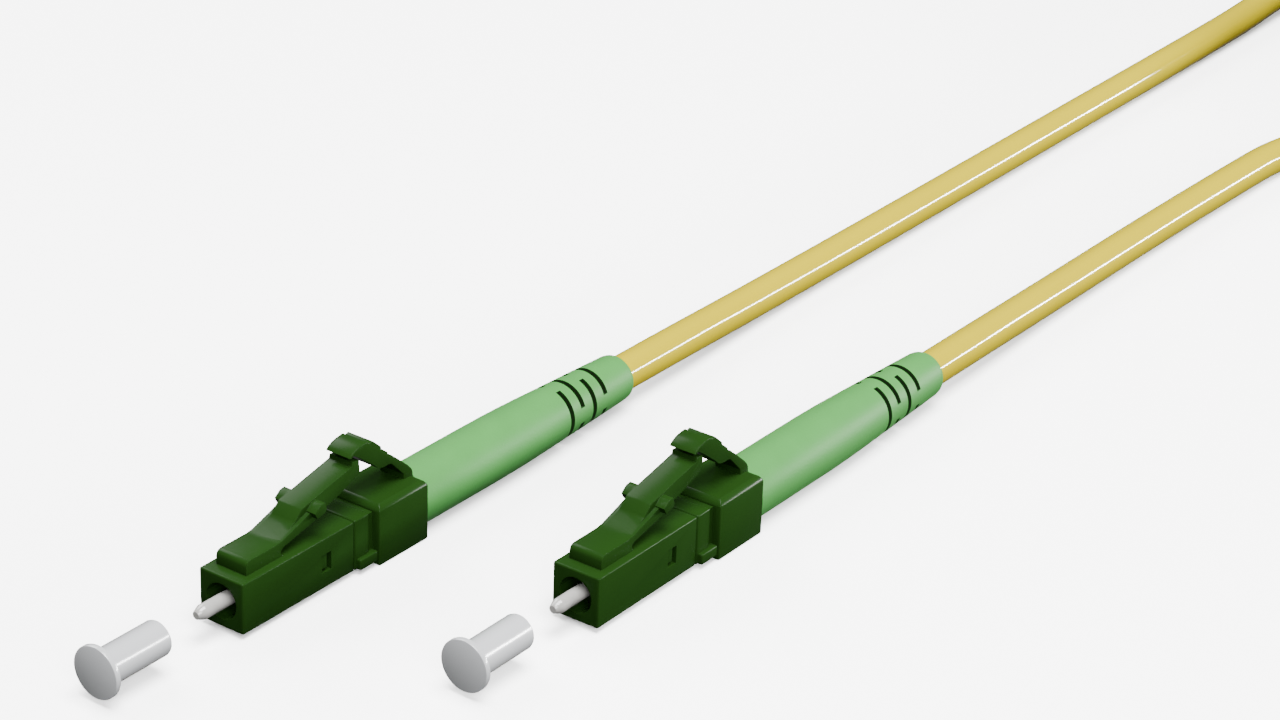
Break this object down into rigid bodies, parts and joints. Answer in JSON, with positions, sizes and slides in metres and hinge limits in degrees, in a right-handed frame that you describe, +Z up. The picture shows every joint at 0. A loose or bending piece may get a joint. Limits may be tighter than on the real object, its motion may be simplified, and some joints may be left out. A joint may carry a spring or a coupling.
{
  "type": "fibre optic patch cable",
  "caption": "Simplex fibre patch cable with a latching plug on each end, dust caps pulled off, and the spare length coiled and tied.",
  "frame": {"origin": "on the surface it lies on, under the middle of the box round the two plugs and their caps", "axes": "+Y along both fibres from the ferrules to the cord, +X from plug a to plug b, +Z up, towards the latches"},
  "size_m": [0.0436, 0.2314, 0.0106],
  "materials": {
    "housing": "moulded satin",
    "boot": "matt, fine grain",
    "jacket": "smooth soft jacket",
    "cap": "moulded, slightly see-through",
    "ceramic": "polished",
    "flange": "plated",
    "spring": "drawn wire",
    "buffer": "smooth",
    "crimp": "crimped",
    "tie": "moulded"
  },
  "bodies": {
    "plugs_and_cord": {"front_housing_a": "housing", "front_housing_b": "housing", "rear_body_a": "housing", "rear_body_b": "housing", "clip_collar_a": "housing", "clip_collar_b": "housing", "crimp_sleeve_a": "crimp", "crimp_sleeve_b": "crimp", "boot_a": "boot", "boot_b": "boot", "ferrule_spring_a": "spring", "ferrule_spring_b": "spring", "cable_run_a": "jacket", "cable_run_b": "jacket", "cable_coil": "jacket", "cable_tie_1": "tie", "cable_tie_2": "tie"},
    "trigger_a": {"trigger_lever_a": "housing"},
    "latch_a": {"latch_lever_a": "housing"},
    "ferrule_set_a": {"ferrule_a": "ceramic", "ferrule_flange_a": "flange", "buffered_fibre_a": "buffer"},
    "cap_a": {"dust_cap_a": "cap"},
    "trigger_b": {"trigger_lever_b": "housing"},
    "latch_b": {"latch_lever_b": "housing"},
    "ferrule_set_b": {"ferrule_b": "ceramic", "ferrule_flange_b": "flange", "buffered_fibre_b": "buffer"},
    "cap_b": {"dust_cap_b": "cap"}
  },
  "joints": [
    {"name": "trigger_press_a", "type": "hinge", "parent": "plugs_and_cord", "child": "trigger_a", "pos_m": [-0.01015, -0.00654, 0.0059], "axis": [1, 0, 0], "range_deg": [0, 13], "stiffness_Nm_per_rad": 0.0005},
    {"name": "latch_press_a", "type": "hinge", "parent": "plugs_and_cord", "child": "latch_a", "pos_m": [-0.01015, -0.02214, 0.0059], "axis": [1, 0, 0], "range_deg": [-12, 0], "stiffness_Nm_per_rad": 0.0005},
    {"name": "ferrule_push_a", "type": "slide", "parent": "plugs_and_cord", "child": "ferrule_set_a", "axis": [0, 1, 0], "range_m": [0, 0.001], "stiffness_N_per_m": 1500, "deforming": ["ferrule_spring_a"]},
    {"name": "cap_on_a", "type": "slide", "parent": "plugs_and_cord", "child": "cap_a", "axis": [0, 1, 0], "range_m": [0, 0.0087]},
    {"name": "trigger_press_b", "type": "hinge", "parent": "plugs_and_cord", "child": "trigger_b", "pos_m": [0.01015, 0.01141, 0.0059], "axis": [1, 0, 0], "range_deg": [0, 13], "stiffness_Nm_per_rad": 0.0005},
    {"name": "latch_press_b", "type": "hinge", "parent": "plugs_and_cord", "child": "latch_b", "pos_m": [0.01015, -0.00419, 0.0059], "axis": [1, 0, 0], "range_deg": [-12, 0], "stiffness_Nm_per_rad": 0.0005},
    {"name": "ferrule_push_b", "type": "slide", "parent": "plugs_and_cord", "child": "ferrule_set_b", "axis": [0, 1, 0], "range_m": [0, 0.001], "stiffness_N_per_m": 1500, "deforming": ["ferrule_spring_b"]},
    {"name": "cap_on_b", "type": "slide", "parent": "plugs_and_cord", "child": "cap_b", "axis": [0, 1, 0], "range_m": [0, 0.0087]}
  ],
  "couplings": [
    {"joint": "latch_press_a", "follows": "trigger_press_a", "ratio": -0.9},
    {"joint": "latch_press_b", "follows": "trigger_press_b", "ratio": -0.9}
  ]
}
